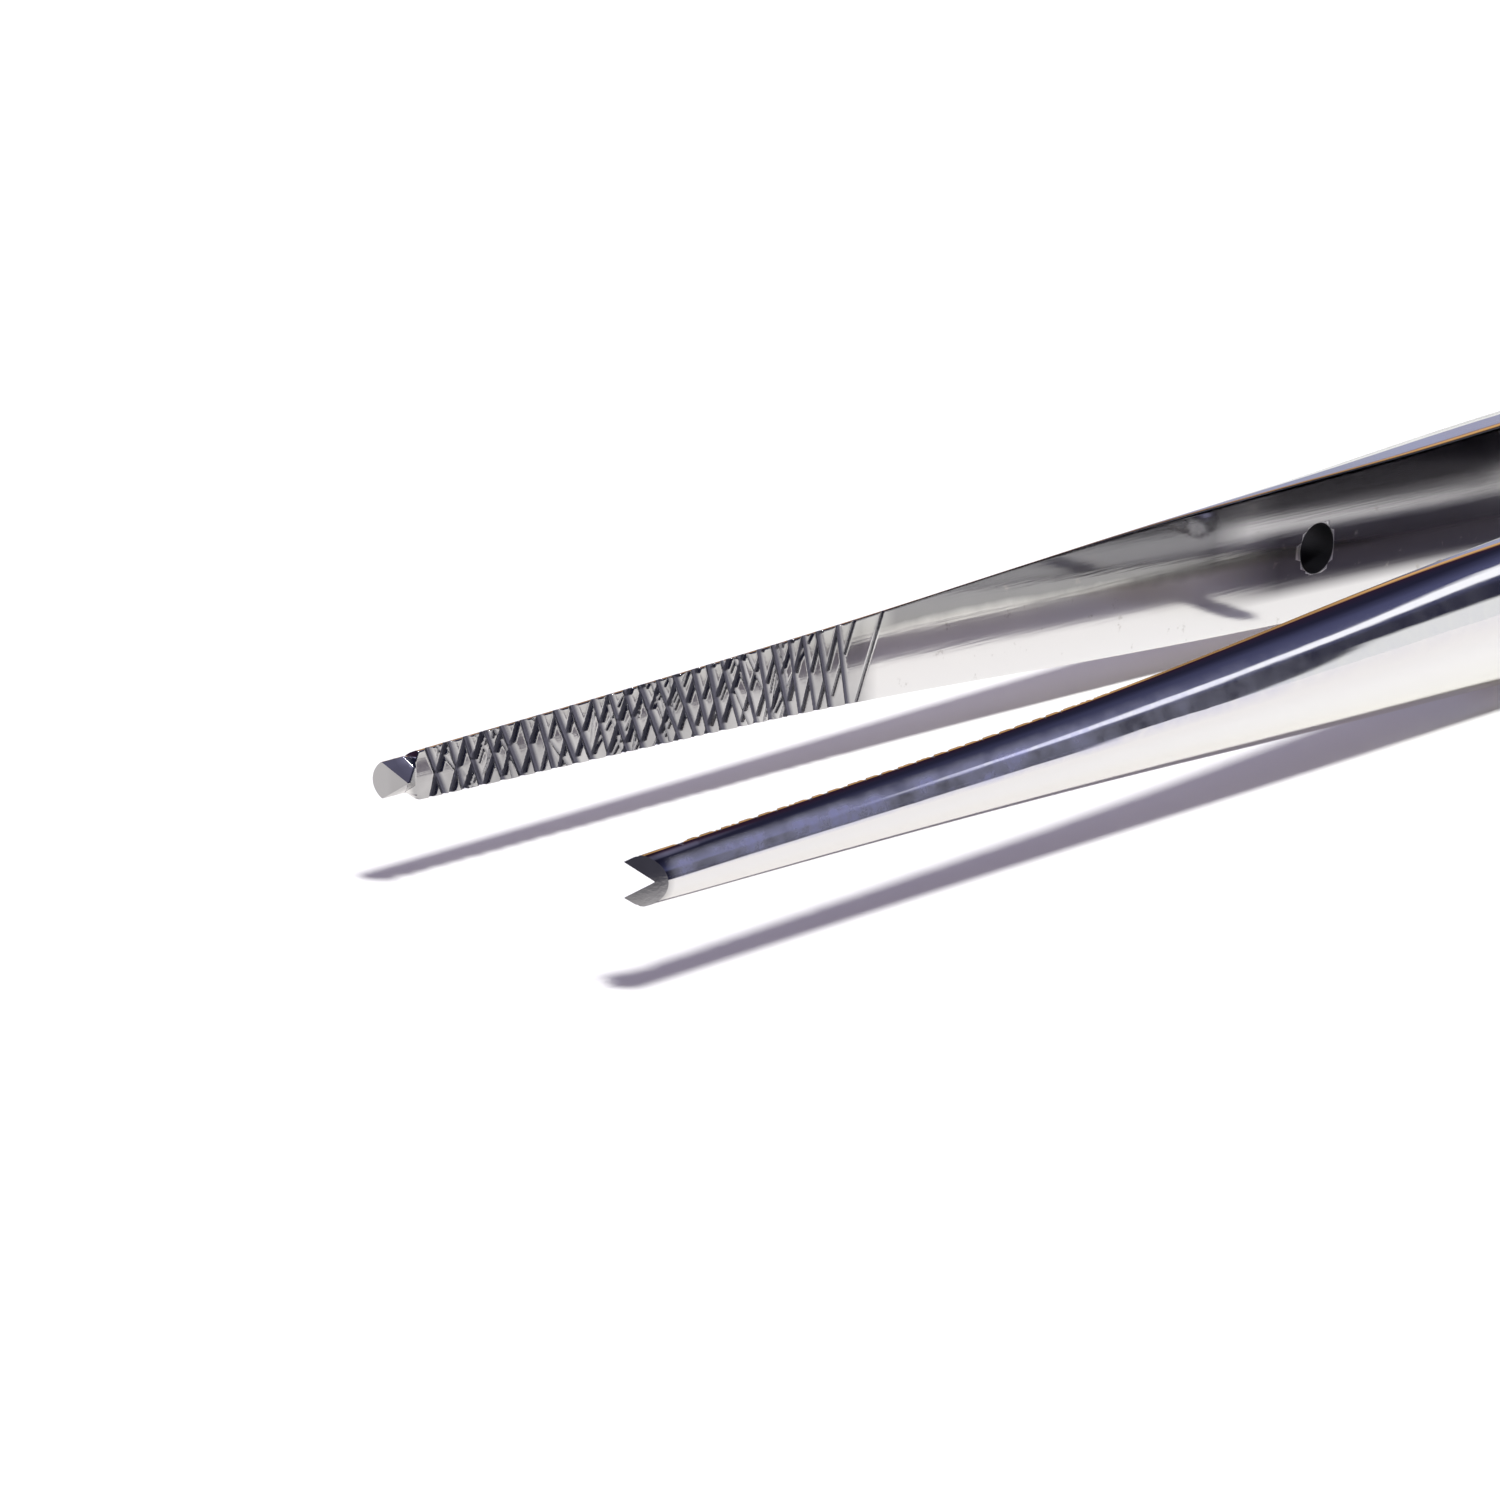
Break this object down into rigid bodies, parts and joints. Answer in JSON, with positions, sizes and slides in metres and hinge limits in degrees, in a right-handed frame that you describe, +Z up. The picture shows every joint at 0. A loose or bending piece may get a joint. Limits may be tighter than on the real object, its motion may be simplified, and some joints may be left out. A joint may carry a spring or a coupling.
{
  "type": "toothed dressing forceps",
  "caption": "Polished steel spring forceps with cross-cut jaws, toothed tips, a guide pin and its hole, and fluted grips, lying on its edge.",
  "frame": {"origin": "centre of the box's underside, on the surface that the forceps lies on", "axes": "+X from the tips to the welded heel, +Y towards the arm with one tooth, +Z up, across the width of the arms"},
  "size_m": [0.145, 0.0176, 0.0088],
  "materials": {
    "polished_steel": "mirror polished, with cross-cut jaws",
    "pin_steel": "satin turned"
  },
  "bodies": {
    "fixed_arm": {"arm_single_tooth": "polished_steel"},
    "squeezed_arm": {"arm_two_teeth": "polished_steel", "guide_pin": "pin_steel"}
  },
  "joints": [
    {"name": "squeeze", "type": "hinge", "parent": "fixed_arm", "child": "squeezed_arm", "pos_m": [0.0475, 0, 0.0044], "axis": [0, 0, -1], "range_deg": [0, 6.31], "stiffness_Nm_per_rad": 2}
  ]
}
